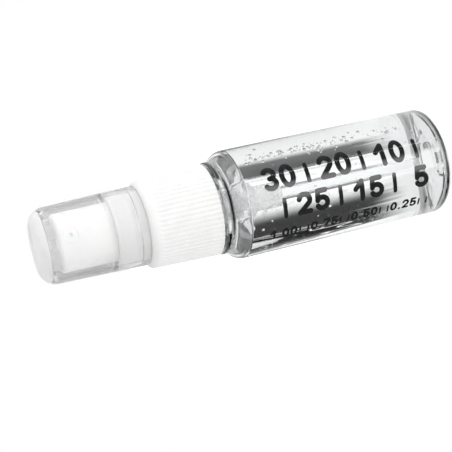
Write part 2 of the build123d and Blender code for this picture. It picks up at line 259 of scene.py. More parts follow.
def ridge(foot, tip, foot_width, tip_width, start, turns):
    """Thread ridge: a trapezoid carried up a helix, h = start + pitch a / 2 pi.

    Its height over the foot is scaled by how far each end is, from 0 to 1 over 25 degrees."""
    count = int(turns * 72) + 1
    angle = np.linspace(0, turns * 2 * np.pi, count)
    ends = np.minimum(angle, angle[-1] - angle) / math.radians(25)
    rise = smooth_step(ends)[:, None]
    outward = np.sign(tip - foot)
    reach = np.array([-0.04 * outward, tip - foot, tip - foot, -0.04 * outward])[None, :]
    across = np.array([-foot_width, -tip_width, tip_width, foot_width])[None, :] / 2
    r = foot + np.where(reach * outward > 0, reach * rise, reach)
    h = start + pitch * angle[:, None] / (2 * np.pi) + across
    faces, rows = rod_faces(count, 4)
    if outward < 0:
        faces = [face[::-1] for face in faces]
    return around_z(r, angle[:, None], h), faces, rows


# ---------------- pieces
def placed(name, data):
    """Object of a mesh, lamp or camera, linked to the scene."""
    obj = bpy.data.objects.new(name, data)
    bpy.context.scene.collection.objects.link(obj)
    return obj


def piece(name, shape, body, materials, stands_for=(), which=None):
    """Object of a shape in millimetres that rides on a body. which gives each face's material."""
    mesh = bpy.data.meshes.new(name)
    mesh.from_pydata((shape[0] * MM).tolist(), [], shape[1])
    mesh.shade_smooth()
    mesh.set_sharp_from_angle(angle=math.radians(32.0))
    for material in materials:
        mesh.materials.append(material)
    if which is not None:
        mesh.polygons.foreach_set("material_index", np.asarray(which, np.int32))
    mesh.update()
    obj = placed(name, mesh)
    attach(obj, body)
    if stands_for:
        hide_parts(*stands_for)
    return obj


# ---------------- shared shader groups
def feed(tree, node, *values):
    """Gives a node's first inputs numbers or links from sockets, and returns its first output."""
    for socket, value in zip(node.inputs, values):
        if isinstance(value, bpy.types.NodeSocket):
            tree.links.new(value, socket)
        else:
            socket.default_value = value
    return node.outputs[0]


def math_node(tree, operation, a, b=0.0):
    """Math node whose inputs are numbers or sockets."""
    node = tree.nodes.new("ShaderNodeMath")
    node.operation = operation
    return feed(tree, node, a, b)


def spread(tree, value, low_in, high_in, low_out, high_out, curve="SMOOTHSTEP"):
    """Map Range node from one range to another, with smooth ends unless its curve is LINEAR."""
    node = tree.nodes.new("ShaderNodeMapRange")
    node.interpolation_type = curve
    return feed(tree, node, value, low_in, high_in, low_out, high_out)


def make_grain_group():
    """Slow variation over a moulded surface: noise on stretched Object coordinates, as a tone
    between two colours, a roughness between two values, and a height."""
    group = bpy.data.node_groups.new("moulded_grain", "ShaderNodeTree")
    for label, kind, value in (
        ("Scale", "Float", 200.0),
        ("Stretch", "Vector", (1, 1, 1)),
        ("Light", "Color", (1, 1, 1, 1)),
        ("Dark", "Color", (0.9, 0.9, 0.9, 1)),
        ("Smooth", "Float", 0.2),
        ("Rough", "Float", 0.4),
    ):
        socket = group.interface.new_socket(label, in_out="INPUT", socket_type="NodeSocket" + kind)
        socket.default_value = value
    for label, kind in (("Color", "Color"), ("Roughness", "Float"), ("Height", "Float")):
        group.interface.new_socket(label, in_out="OUTPUT", socket_type="NodeSocket" + kind)
    given = group.nodes.new("NodeGroupInput")
    out = group.nodes.new("NodeGroupOutput")
    place = group.nodes.new("ShaderNodeTexCoord")
    stretch = group.nodes.new("ShaderNodeVectorMath")
    stretch.operation = "MULTIPLY"
    noise = group.nodes.new("ShaderNodeTexNoise")
    noise.inputs["Detail"].default_value = 3.0
    group.links.new(place.outputs["Object"], stretch.inputs[0])
    group.links.new(given.outputs["Stretch"], stretch.inputs[1])
    group.links.new(stretch.outputs[0], noise.inputs["Vector"])
    group.links.new(given.outputs["Scale"], noise.inputs["Scale"])
    share = spread(group, noise.outputs["Fac"], 0.3, 0.7, 0.0, 1.0)
    tone = group.nodes.new("ShaderNodeMix")
    tone.data_type = "RGBA"
    group.links.new(share, tone.inputs["Factor"])
    group.links.new(given.outputs["Light"], tone.inputs["A"])
    group.links.new(given.outputs["Dark"], tone.inputs["B"])
    rough = spread(group, share, 0.0, 1.0, given.outputs["Smooth"], given.outputs["Rough"])
    group.links.new([s for s in tone.outputs if s.type == "RGBA"][0], out.inputs["Color"])
    group.links.new(rough, out.inputs["Roughness"])
    group.links.new(noise.outputs["Fac"], out.inputs["Height"])
    return group


grain_group = make_grain_group()


# ---------------- materials
def new_material(name, **plain):
    """Material with a Principled shader and its constant sockets set, and its tree and shader."""
    material = bpy.data.materials.new(name)
    material.use_nodes = True
    tree = material.node_tree
    shader = tree.nodes["Principled BSDF"]
    for label, value in plain.items():
        shader.inputs[label.replace("_", " ")].default_value = value
    return material, tree, shader


def add_grain(tree, shader, scale, light, dark, smooth, rough, stretch=(1, 1, 1)):
    """Places the grain group and feeds the shader's colour and roughness. Gives its height."""
    node = tree.nodes.new("ShaderNodeGroup")
    node.node_tree = grain_group
    feed(tree, node, scale, stretch, (*light, 1), (*dark, 1), smooth, rough)
    tree.links.new(node.outputs["Roughness"], shader.inputs["Roughness"])
    tree.links.new(node.outputs["Color"], shader.inputs["Base Color"])
    return node.outputs["Height"]


def make_finish(name, tones, gloss, scale, depth=0.0, stretch=(1, 1, 1), **plain):
    """Moulded or drawn finish: a light and a dark tone, two roughnesses, the grain's scale, the
    depth of its bump in metres, and the shader's constant sockets."""
    material, tree, shader = new_material(name, **plain)
    height = add_grain(tree, shader, scale, *tones, *gloss, stretch)
    if depth:
        bump = tree.nodes.new("ShaderNodeBump")
        bump.inputs["Strength"].default_value = 1.0
        bump.inputs["Distance"].default_value = depth
        tree.links.new(height, bump.inputs["Height"])
        tree.links.new(bump.outputs["Normal"], shader.inputs["Normal"])
    return material


pet_index = 1.575
liquid_index = 1.35


def make_clear_pet(name, index, waves, clear=1.0):
    """Clear blown bottle plastic: slow lengthwise waves in the wall, and a trace of haze."""
    tones = (0.985, 0.99, 0.99), (0.97, 0.978, 0.98)
    return make_finish(
        name, tones, (0.0, 0.03), 90.0, waves, (1, 1, 0.25), Transmission_Weight=clear, IOR=index
    )


def make_liquid_finish(name, depth=0.0, **plain):
    """Water-clear cleaning liquid."""
    tones = (0.99, 0.995, 1.0), (0.98, 0.99, 1.0)
    return make_finish(name, tones, (0.0, 0.01), 300.0, depth, Transmission_Weight=1.0, **plain)


def make_white_plastic(name, tones, smooth, rough):
    """White moulded polypropylene: satin gloss, faint flow tone, and fine orange peel."""
    glow = {"Subsurface_Weight": 0.12, "Subsurface_Radius": (1, 1, 1), "Subsurface_Scale": 0.0005}
    return make_finish(name, tones, (smooth, rough), 260.0, 0.00001, IOR=1.49, **glow)


def make_cap_plastic(name, clear):
    """Clear polypropylene of the overcap, milkier where it is thick, with soft moulding waves."""
    tones = (0.99, 0.99, 0.99), (0.98, 0.982, 0.984)
    sheen = {"Sheen_Weight": 1.0, "Sheen_Roughness": 0.3}
    return make_finish(
        name, tones, (0.04, 0.10), 120.0, 0.00003, Transmission_Weight=clear, IOR=1.49, **sheen
    )


def make_natural_plastic(name, index, clear, smooth, rough):
    """Natural, unpigmented polyolefin of the pump and its tube: milky and waxy."""
    tones = (0.96, 0.97, 0.97), (0.92, 0.93, 0.93)
    return make_finish(
        name, tones, (smooth, rough), 400.0, 0.00001, Transmission_Weight=clear, IOR=index
    )


def make_steel(name, smooth, rough, stretch):
    """Stainless steel: drawn wire or a polished ball."""
    tones = (0.66, 0.66, 0.67), (0.54, 0.54, 0.56)
    return make_finish(name, tones, (smooth, rough), 1200.0, 0.000005, stretch, Metallic=1.0)


clear_pet = make_clear_pet("clear_pet", pet_index, 0.00003)
wetted_pet = make_clear_pet("wetted_pet", pet_index / liquid_index, 0.00020)
# Milky plastic for under the foot: painted light, so the heel shows lit white where its refraction
# gives a dark ring.
foot_painted_light_pet = make_clear_pet("foot_painted_light_pet", pet_index, 0.00003, 0.25)
# The liquid where it meets air: its level and its bubbles.
liquid_surface = make_liquid_finish("liquid_surface", 0.00001, IOR=liquid_index)
# The liquid where it touches a wall, which already bends the light: nothing shows.
liquid_side = make_liquid_finish("liquid_side", IOR=1.0, Alpha=0.0)
# Screen-printed ink, slightly glossy, with thin spots.
ink_tones = (0.006, 0.006, 0.007), (0.013, 0.013, 0.014)
black_ink = make_finish(
    "black_ink", ink_tones, (0.10, 0.17), 1500.0, 0.000004, Coat_Weight=0.25, Coat_Roughness=0.08
)
collar_tones = (0.87, 0.87, 0.865), (0.84, 0.84, 0.835)
collar_white = make_white_plastic("collar_plastic", collar_tones, 0.30, 0.42)
button_tones = (0.91, 0.91, 0.905), (0.88, 0.88, 0.875)
button_white = make_white_plastic("button_plastic", button_tones, 0.26, 0.38)
nozzle_tones = (0.92, 0.92, 0.92), (0.89, 0.89, 0.89)
nozzle_white = make_white_plastic("nozzle_plastic", nozzle_tones, 0.18, 0.28)
cap_wall_plastic = make_cap_plastic("overcap_wall_plastic", 0.93)
cap_end_plastic = make_cap_plastic("overcap_end_plastic", 0.40)
cap_mouth_plastic = make_cap_plastic("overcap_mouth_plastic", 0.78)
pump_plastic = make_natural_plastic("pump_plastic", 1.49, 0.45, 0.15, 0.30)
tube_plastic = make_natural_plastic("tube_plastic", 1.51 / liquid_index, 0.96, 0.03, 0.08)
# Closed-cell foam, matt with fine cells, and dark grey seal rubber.
foam_tones = (0.86, 0.86, 0.84), (0.70, 0.70, 0.68)
foam = make_finish("foam", foam_tones, (0.7, 0.95), 4000.0, 0.00005, IOR=1.4)
rubber_tones = (0.10, 0.10, 0.105), (0.06, 0.06, 0.065)
seal_rubber = make_finish("seal_rubber", rubber_tones, (0.5, 0.7), 1500.0, 0.00002, IOR=1.5)
spring_steel = make_steel("spring_steel", 0.18, 0.36, (1, 1, 8))
ball_steel = make_steel("ball_steel", 0.05, 0.12, (1, 1, 1))


# ---------------- bottle
def bottle_outline():
    """Outer wall from the foot's centre to the land, then the inner wall back to the centre."""
    outer = [
        (0, push_up),
        (push_up_radius, push_up, 1.6),
        (foot_radius, 0, 0.4),
        (body_radius, 0, 2.3),
        (body_radius, shoulder, 4.0),
        (neck_radius + 1.5, shoulder, 0.2),
        (neck_radius + 1.5, ring_bottom, 0.2),
        (neck_radius + 3.6, ring_bottom, 0.35),
        (neck_radius + 3.6, ring_top, 0.35),
        (neck_radius, ring_top, 0.35),
        (neck_radius, land, 0.25),
    ]
    inner = [
        (neck_bore, land, 0.25),
        (neck_bore, shoulder - wall, 1.0),
        (inner_radius, shoulder - wall, 3.0),
        (inner_radius, wet_line),
        (inner_radius, base_wall, 1.8),
        (foot_radius, base_wall, 0.4),
        (push_up_radius, push_up + base_wall, 1.6),
        (0, push_up + base_wall),
    ]
    return rounded(outer + inner)


parting_angle = math.radians(-79.8)
parting_height = 0.07
parting_width = 0.22


def bottle_angles():
    """Even angles round the bottle, with a close set across each of the two parting lines."""
    even = np.arange(SEGMENTS) * 2 * np.pi / SEGMENTS
    lines = parting_angle % np.pi + np.array([0, np.pi])
    across = np.array([-1, -0.6, -0.3, 0, 0.3, 0.6, 1]) * parting_width / body_radius
    close = (lines[:, None] + across).ravel()
    clear = np.abs(even[:, None] - lines).min(axis=1) > 1.5 * parting_width / body_radius
    return np.sort(np.concatenate([even[clear], close]))


def parting_rise(a, r, h):
    """Mould's parting line: a ridge of height (1 - (u / width)^2)^2, with u the distance round."""
    u = np.abs((a - parting_angle + np.pi / 2) % np.pi - np.pi / 2) * body_radius
    outside = np.arange(len(r))[:, None] <= np.argmax(h)
    shape = np.clip(1 - (u / parting_width) ** 2, 0, None) ** 2
    return -parting_height * shape * outside * smooth_step((h - 1.0) / 2.0)


def make_bottle():
    """Clear shell, made milky white under its foot as painted light that brightens the heel's dark
    ring.
    Below the liquid's contact line the inner wall bends light by plastic over liquid."""
    outline = bottle_outline()
    angles = bottle_angles()
    shape = turned(outline, angles=angles, inset=parting_rise)
    top = int(np.argmax(outline[:, 1]))
    rows = np.arange(len(outline) - 1)
    middle = (outline[:-1, 1] + outline[1:, 1]) / 2
    wetted = ((rows > top) & (middle < wet_line))[1:]
    which = wetted[np.minimum(shape[2], len(wetted) - 1)].astype(int)
    which[-len(angles) :] = 1
    centres = np.array([shape[0][face].mean(axis=0) for face in shape[1]])
    # Faces under the foot take the milky foot plastic: painted light over the heel's dark
    # refraction ring.
    painted_light_radius, painted_light_height = 9.0, base_wall - 0.05
    out = np.hypot(centres[:, 0], centres[:, 1])
    which[(centres[:, 2] < painted_light_height) & (out > painted_light_radius)] = 2
    materials = [clear_pet, wetted_pet, foot_painted_light_pet]
    piece("bottle_shell", shape, "root", materials, ["bottle"], which)
    start = thread_top - pitch * thread_turns
    thread = ridge(neck_radius, neck_radius + 0.9, 2.1, 0.8, start, thread_turns)
    piece("neck_thread", thread, "root", [clear_pet])


def make_liquid():
    """Filling: its level rises as it meets the wall and the pump, and bubbles cling to the wall.

    Level: h = level + wall rise exp(-(gap to wall) / 0.8) + tail rise exp(-(gap to pump) / 0.5)."""
    edge = inner_radius - liquid_gap
    inside = barrel_radius + liquid_gap
    floor = base_wall + liquid_gap
    hump = push_up + floor
    ramp = np.linspace(0, 1, 40)
    radius = edge - (edge - inside) * smooth_step(ramp)
    rise = (wet_line - liquid_level) * np.exp((radius - edge) / 0.8)
    rise += 0.5 * np.exp((inside - radius) / 0.5)
    level = np.stack([radius, liquid_level + rise], 1)
    base = [(0, hump), (push_up_radius, hump, 1.6), (foot_radius, floor, 0.4), (edge, floor, 1.8)]
    lower = rounded(base + [level[0]])
    channel = np.array(
        [
            (inside, barrel_foot),
            (tail_radius + liquid_gap, barrel_foot - (barrel_radius - tail_radius)),
            (tail_radius + liquid_gap, tail_bottom - liquid_gap),
            (tube_radius + liquid_gap, tail_bottom - liquid_gap),
            (tube_radius + liquid_gap, tube_bottom - 0.05),
            (0, tube_bottom - 0.05),
        ]
    )
    outline = np.concatenate([lower[:-1], level, channel])
    body = turned(outline)
    rows = np.arange(len(outline) - 2)
    free = (rows >= len(lower) - 2) & (rows < len(lower) - 3 + len(level))
    which = np.where(free[np.minimum(body[2], len(rows) - 1)], 0, 1)
    which[-2 * SEGMENTS :] = 1
    cavity = make_bubbles()
    shape = joined(body, cavity)
    which = np.concatenate([which, np.zeros(len(cavity[1]), int)])
    materials = [liquid_surface, liquid_side]
    piece("liquid", shape, "root", materials, ["cleaning_liquid"], which)


def make_bubbles():
    """Small air bubbles in the liquid, most of them in one row on the wall: spheres whose faces
    look inwards, each centre + radius (cos v cos u, cos v sin u, sin v)."""
    chance = np.random.default_rng(7)
    count = 260
    size = 0.12 + 0.40 * chance.random(count) ** 3
    row_share, row_angle, row_spread = 0.7, math.radians(46), math.radians(4)
    in_row = chance.random(count) < row_share
    row = row_angle + row_spread * chance.standard_normal(count)
    around = view_angle + np.where(in_row, row, 2 * np.pi * chance.random(count))
    height = 6 + (liquid_level - 8) * chance.random(count) ** 0.7
    out = inner_radius - 0.06 - size
    centre = around_z(out, around, height)
    v = np.radians([-60, -30, 0, 30, 60])
    ball, faces, _ = turned(np.array([(0, -1), *zip(np.cos(v), np.sin(v)), (0, 1)]), 10)
    points = (centre[:, None, :] + size[:, None, None] * ball[None]).reshape(-1, 3)
    faces = [[i + len(ball) * k for i in face[::-1]] for k in range(count) for face in faces]
    return points, faces, np.zeros(len(faces), int)


# ---------------- printed scale
stroke = 1.45
digit_height = 6.7
digit_width = 4.5


def arc(x, y, rx, ry, start, end, count=14):
    """Points of an ellipse's arc, angles in degrees."""
    a = np.radians(np.linspace(start, end, count))
    return np.stack([x + rx * np.cos(a), y + ry * np.sin(a)], 1)


def digit_strokes(digit, width, height, weight):
    """Centre lines of a plain numeral in a box from (0, 0), drawn with round-ended strokes."""
    left, right = weight / 2, width - weight / 2
    foot, top = weight / 2, height - weight / 2
    middle, waist = width / 2, height / 2
    rx, ry = (right - left) / 2, (top - foot) / 2
    upper = (top - waist) / 2
    if digit == "0":
        return [arc(middle, waist, rx, ry, 90, 450, 33)]
    if digit == "1":
        stem = np.array([(middle + weight / 2, foot), (middle + weight / 2, top)])
        flag = np.array([(middle + weight / 2, top), (left + weight / 4, top - 1.3 * weight)])
        return [stem, flag]
    if digit == "2":
        bowl = arc(middle, top - rx, rx, rx, 165, -35, 18)
        return [np.concatenate([bowl, [(left, foot)]]), np.array([(left, foot), (right, foot)])]
    if digit == "7":
        return [np.array([(left, top), (right, top), (middle - weight / 4, foot)])]
    if digit == ".":
        return [np.array([(middle, foot), (middle + weight / 8, foot)])]
    if digit == "3":
        above = arc(middle, waist + upper, rx * 0.92, upper, 150, -90, 18)
        below = arc(middle, foot + upper, rx, upper, 90, -150, 18)
        return [above, below]
    bowl_height = (waist - foot) * 0.62
    bowl = arc(middle, foot + bowl_height, rx, bowl_height, 135, -150, 20)
    back = np.array([(left + weight / 6, foot + bowl_height * 1.5), (left + weight / 3, top)])
    bar = np.array([(left + weight / 3, top), (right - weight / 4, top)])
    return [bowl, back, bar]


def printed_stroke(path, weight, across, start):
    """Thin raised ribbon of ink along a flat path, wrapped round the body.

    Flat x runs down the body from height start, and flat y runs round it from the angle across:
    a = across + y / radius, h = start - x. The ribbon's half width is weight / 2, and past each end
    of the path it closes as a half circle, sqrt(1 - t^2)."""
    steps = np.linalg.norm(np.diff(path, axis=0), axis=1)
    travel = np.concatenate([[0], np.cumsum(steps)])
    dense = np.linspace(0, travel[-1], max(2, int(travel[-1] / 0.25)))
    line = np.stack([np.interp(dense, travel, path[:, k]) for k in (0, 1)], 1)
    tip = np.sin(np.radians([90, 75, 55, 35, 15]))[:, None] * weight / 2
    before = line[0] + tip * (line[0] - line[1]) / np.linalg.norm(line[0] - line[1])
    after = line[-1] + tip[::-1] * (line[-1] - line[-2]) / np.linalg.norm(line[-1] - line[-2])
    cap = np.cos(np.radians([89, 75, 55, 35, 15]))
    half = np.concatenate([cap, np.ones(len(line)), cap[::-1]])[:, None] * weight / 2
    line = np.concatenate([before, line, after])
    run = np.gradient(line, axis=0)
    run /= np.linalg.norm(run, axis=1)[:, None]
    side = np.stack([-run[:, 1], run[:, 0]], 1) * half
    lanes = [-1.0, -0.5, 0.0, 0.5, 1.0]
    flat = np.stack([line + side * k for k in lanes + lanes[::-1]], 1)
    face, back = ink_thickness * 0.9, 0.004
    lift = np.array([face] * len(lanes) + [back] * len(lanes))
    points = around_z(body_radius + lift, across + flat[..., 1] / body_radius, start - flat[..., 0])
    return points, *rod_faces(len(line), 2 * len(lanes))


def number_strokes(text, width, height, weight):
    """Centre lines of a number, centred at x = 0 on its row."""
    widths = np.array([width * (0.5 if digit == "." else 1.0) for digit in text])
    gap = width * 0.12
    starts = np.cumsum(widths + gap) - widths - gap
    total = starts[-1] + widths[-1]
    made = []
    for digit, own, start in zip(text, widths, starts):
        shift = np.array([start - total / 2, 0])
        made += [path + shift for path in digit_strokes(digit, own, height, weight)]
    return made


def make_printed_scale():
    """Graduated scales: numerals and marks each 5 ml in two bold rows, and a fine row in ounces."""
    per_five = 8.12
    full = 51.0
    rows = {"upper": math.radians(3.5), "lower": math.radians(-27.4), "fine": math.radians(-50.0)}
    fine_stroke = 0.68
    ribbons = []
    for index, text in enumerate(["30", "25", "20", "15", "10", "5"]):
        centre = full - per_five * index
        own, other = ("upper", "lower") if index % 2 == 0 else ("lower", "upper")
        tall = digit_height if own == "upper" else digit_height - 0.45
        for path in number_strokes(text, digit_width, tall, stroke):
            ribbons.append(printed_stroke(path, stroke, view_angle + rows[own], centre))
        mark = np.array([(0, stroke / 2), (0, digit_height - stroke)])
        ribbons.append(printed_stroke(mark, stroke * 0.8, view_angle + rows[other], centre))
    ounce = 29.57 / 5 * per_five
    base = full + (30 - 29.57) / 5 * per_five - ounce
    for share in range(1, 21):
        height = base + ounce * share / 20
        if share % 5 == 0:
            for path in number_strokes(f"{share / 20:.2f}", 2.1, 3.1, fine_stroke):
                ribbons.append(printed_stroke(path, fine_stroke, view_angle + rows["fine"], height))
        elif share % 5 in (2, 3):
            mark = np.array([(0, 0.3), (0, 2.2)])
            ribbons.append(printed_stroke(mark, 0.5, view_angle + rows["fine"], height))
    piece("printed_scale", joined(*ribbons), "root", [black_ink])


# ---------------- closure
def rib_angles():
    """Eight angles for each rib: seven across its groove and one on the land between grooves."""
    half = math.sqrt(rib_curve**2 - (rib_curve - rib_depth) ** 2)
    across = np.array([-1, -0.8, -0.4, 0, 0.4, 0.8, 1]) * half / collar_radius
    pattern = np.append(across, np.pi / rib_count)
    start = np.arange(rib_count)[:, None] * 2 * np.pi / rib_count
    return (start + pattern[None, :]).ravel()


def rib_inset(a, r, h):
    """Depth of the rounded grooves: sqrt(curve^2 - u^2) less the groove's centre offset, where u is
    the distance round the skirt from the nearest groove. It fades out below the skirt's top."""
    pitch_angle = 2 * np.pi / rib_count
    u = ((a + pitch_angle / 2) % pitch_angle - pitch_angle / 2) * collar_radius
    depth = np.sqrt(np.clip(rib_curve**2 - u**2, 0, None)) - (rib_curve - rib_depth)
    outside = (r > collar_top_radius - 0.3) & (h < deck - 1.0)
    return np.clip(depth, 0, None) * outside * smooth_step((rib_top - h) / 0.5)


def make_collar():
    """Ribbed screw collar with its turret, and the thread inside it."""
    lean = (collar_radius - collar_top_radius) / (deck - collar_rim)
    ends = (rib_top - 0.5, rib_top - 0.25, rib_top)
    band = [(collar_radius - lean * (h - collar_rim), h) for h in ends]
    bead_radius = turret_radius + 0.25
    outline = rounded(
        [
            (collar_bore, collar_rim, 0.35),
            (collar_radius, collar_rim, 0.35),
            *band,
            (collar_top_radius, deck, 1.7),
            (turret_radius, deck, 0.15),
            (turret_radius, deck + 2.4, 0.1),
            (bead_radius, deck + 2.8, 0.1),
            (bead_radius, deck + 3.0, 0.1),
            (turret_radius, deck + 3.6, 0.2),
            (turret_radius, turret_top, 0.35),
            (turret_bore, turret_top, 0.35),
            (turret_bore, web_top, 0.35),
            (web_bore, web_top, 0.1),
            (web_bore, ceiling, 0.1),
            (collar_bore, ceiling, 0.2),
        ],
        closed=True,
    )
    shape = turned(outline, angles=rib_angles(), inset=rib_inset)
    start = thread_top - pitch * (thread_turns + 0.5)
    thread = ridge(collar_bore, neck_radius + 0.15, 1.9, 0.7, start, thread_turns)
    shape = joined(shape, thread)
    piece("collar", shape, "collar", [collar_white], ["screw_collar"])


def make_overcap():
    """Clear cap: thick crowned end, tapered wall, and a step inside that passes the bead."""
    outline = rounded(
        [
            (0, cap_ceiling),
            (button_radius + 0.9, cap_ceiling, 0.6),
            (button_radius + 1.2, turret_top + 1.6, 1.2),
            (cap_bore, turret_top + 0.4, 0.6),
            (cap_bore, deck + 2.35, 0.1),
            (cap_bore - 0.25, deck + 1.95, 0.1),
            (cap_bore - 0.25, deck + 1.75, 0.1),
            (cap_bore, deck + 1.15, 0.2),
            (cap_bore, cap_mouth, 0.15),
            (cap_radius, cap_mouth, 0.15),
            (cap_radius - 0.74, cap_top - 0.65, 4.3),
            (3.0, cap_top, 38.0),
            (0, cap_top),
        ],
        step=5.0,
    )
    mouth = int(np.argmax(outline[:, 0]))
    side = np.linspace(outline[mouth], outline[mouth + 1], 30)
    outline = np.concatenate([outline[:mouth], side, outline[mouth + 2 :]])
    shape = turned(outline)
    centres = np.array([shape[0][face, 2].mean() for face in shape[1]])
    materials = [cap_wall_plastic, cap_end_plastic, cap_mouth_plastic]
    which = np.where(centres > cap_ceiling - 0.01, 1, np.where(centres < turret_top - 0.3, 2, 0))
    piece("overcap_shell", shape, "cap", materials, ["overcap"], which)


def side_with_hole(bottom, top, rows_below, rows_above):
    """Button's side wall from bottom to top with a round hole for the nozzle at -Y.

    Plain rows are a cylinder. Round the hole, a patch of columns runs from the hole's circle to a
    frame of grid points: p = circle + (frame - circle) t, wrapped on the cylinder."""
    half_columns = 11
    columns = SEGMENTS
    step = 2 * np.pi / columns
    angle = -np.pi / 2 + (np.arange(columns) - half_columns) * step
    frame_low, frame_high = nozzle_height - nozzle_radius - 0.35, top
    plain = np.linspace(bottom, frame_low, rows_below, endpoint=False)
    heights = np.concatenate([plain, np.linspace(frame_low, frame_high, rows_above)])
    points = around_z(button_radius, angle[None, :], heights[:, None])
    faces, rows = quads(len(heights), columns)
    place = np.arange(len(faces)) % columns
    open_faces = (rows >= rows_below) & (place < 2 * half_columns)
    kept = [face for face, gone in zip(faces, open_faces) if not gone]
    first, last = rows_below, len(heights) - 1
    lower = [(first, c) for c in range(0, 2 * half_columns)]
    right = [(r, 2 * half_columns) for r in range(first, last)]
    upper = [(last, c) for c in range(2 * half_columns, 0, -1)]
    left = [(r, 0) for r in range(last, first, -1)]
    loop = lower + right + upper + left
    border = np.array([r * columns + c for r, c in loop])
    flat = np.array([((c - half_columns) * step * button_radius, heights[r]) for r, c in loop])
    around = np.arctan2(flat[:, 1] - nozzle_height, flat[:, 0])
    hole = nozzle_radius + 0.02
    circle = np.stack([hole * np.cos(around), nozzle_height + hole * np.sin(around)], 1)
    shares = np.array([0.0, 0.04, 0.12, 0.4, 0.7])
    rings = circle[None] + (flat - circle)[None] * shares[:, None, None]
    patch = around_z(button_radius, -np.pi / 2 + rings[..., 0] / button_radius, rings[..., 1])
    wall_depth = np.array([nozzle_back, button_radius - 0.12])[:, None]
    walls = np.stack(np.broadcast_arrays(circle[:, 0], -wall_depth, circle[:, 1]), -1)
    loops = len(wall_depth) + len(shares)
    start, count = len(points), len(loop)
    points = np.concatenate([points, walls.reshape(-1, 3), patch])
    patch_faces = [[start + i for i in face] for face in quads(loops, count)[0]]
    here = np.arange(count)
    after = (here + 1) % count
    rim = start + (loops - 1) * count
    patch_faces += np.stack([rim + here, rim + after, border[after], border[here]], 1).tolist()
    kept += [face[::-1] for face in patch_faces]
    return points, kept, np.zeros(len(kept), int)


def make_button():
    """Finger button: dished top, rounded edge, skirt, centre post with the stem's socket."""
    edge = 1.2
    dish_radius, dish_depth = 6.0, 0.5
    socket_radius, post_radius = 1.77, 3.2
    button_roof = button_top - 1.6
    share = np.linspace(1, 0, 12)
    dish = np.stack([dish_radius * share, button_top - dish_depth * (1 - share**2)], 1)
    side_top = button_top - edge
    corner = (button_radius, button_top, edge)
    above = rounded([(button_radius, side_top), corner, (dish_radius, button_top)])
    crown = turned(np.concatenate([above[1:-1], dish]))
    inside = rounded(
        [
            (0, stem_top),
            (socket_radius, stem_top),
            (socket_radius, button_bottom + 1.0, 0.2),
            (post_radius, button_bottom + 1.0, 0.3),
            (post_radius, button_roof, 0.4),
            (button_radius - 1.0, button_roof, 0.5),
            (button_radius - 1.0, button_bottom, 0.25),
            (button_radius, button_bottom, 0.25),
            (button_radius, button_bottom + 2.0),
        ]
    )
    skirt = turned(inside)
    side = side_with_hole(button_bottom + 2.0, side_top, 6, 12)
    boss_outline = np.array(
        [
            (0, 1.0),
            (nozzle_radius + 0.9, 1.0),
            (nozzle_radius + 0.9, button_radius - 0.6),
            (nozzle_radius + 0.04, button_radius - 0.6),
            (nozzle_radius + 0.04, nozzle_back),
            (0, nozzle_back),
        ]
    )
    boss = facing(turned(boss_outline, 64))
    shape = joined(welded(joined(skirt, side, crown)), boss)
    piece("button", shape, "button", [button_white], ["actuator"])


def make_nozzle():
    """Spray insert: a plug with a flared hole in its face."""
    outline = rounded(
        [
            (0, nozzle_back + 0.05),
            (nozzle_radius, nozzle_back + 0.05),
            (nozzle_radius, nozzle_face, 0.15),
            (0.6, nozzle_face, 0.05),
            (0.15, nozzle_face - 0.5),
            (0.15, nozzle_face - 0.9),
            (0, nozzle_face - 0.9),
        ]
    )
    shape = facing(turned(outline, 64))
    piece("nozzle", shape, "button", [nozzle_white], ["nozzle_insert"])


# ---------------- pump
def make_housing():
    """Pump housing: flange, seal cup, barrel, ball cage and the tube's socket, turned in one."""
    flange_radius, flange_foot = 9.7, ceiling - 1.4
    cup_radius, cup_bore, cup_floor = 6.7, 5.6, ceiling - 5.4
    chamber_radius, chamber_floor = 3.1, 57.5
    cage_entry, cage_radius, cage_top, cage_foot = 1.42, 1.75, 57.2, 55.7
    cone_foot, cone_top = 73.0, 75.6
    inlet_radius, inlet_top = 0.8, 54.75
    outline = rounded(
        [
            (tube_radius + 0.02, tail_bottom, 0.1),
            (tail_radius, tail_bottom, 0.2),
            (tail_radius, barrel_foot - (barrel_radius - tail_radius), 0.3),
            (barrel_radius, barrel_foot, 0.4),
            (barrel_radius, cone_foot, 0.4),
            (cup_radius, cone_top, 0.4),
            (cup_radius, flange_foot, 0.2),
            (flange_radius, flange_foot, 0.2),
            (flange_radius, ceiling, 0.2),
            (cup_bore, ceiling, 0.2),
            (cup_bore, cup_floor, 0.1),
            (chamber_radius, cup_floor, 0.1),
            (chamber_radius, chamber_floor, 0.1),
            (cage_entry, chamber_floor),
            (cage_entry, cage_top),
            (cage_radius, cage_top),
            (cage_radius, cage_foot),
            (inlet_radius, inlet_top),
            (inlet_radius, tube_top),
            (tube_radius + 0.02, tube_top),
        ],
        closed=True,
    )
    shape = turned(outline)
    piece("housing", shape, "pump", [pump_plastic], ["pump_housing"])


def make_tube():
    """Dip tube: a ring swept up the axis, its foot cut by the plane h = bottom + radius + x."""
    angle = np.arange(64) * 2 * np.pi / 64
    share = np.linspace(0, 1, 24)[:, None]

    def side(radius):
        foot = tube_bottom + tube_radius + radius * np.cos(angle)[None, :]
        height = foot + (tube_top - foot) * share
        x, y = radius * np.cos(angle)[None, :], radius * np.sin(angle)[None, :]
        return np.stack(np.broadcast_arrays(x, y, height), -1)

    loops = np.concatenate([side(tube_radius), side(tube_bore)[::-1]])
    faces, rows = quads(len(loops), len(angle), close_rows=True)
    shape = (loops.reshape(-1, 3), faces, rows)
    piece("suction_tube", shape, "pump", [tube_plastic], ["dip_tube"])


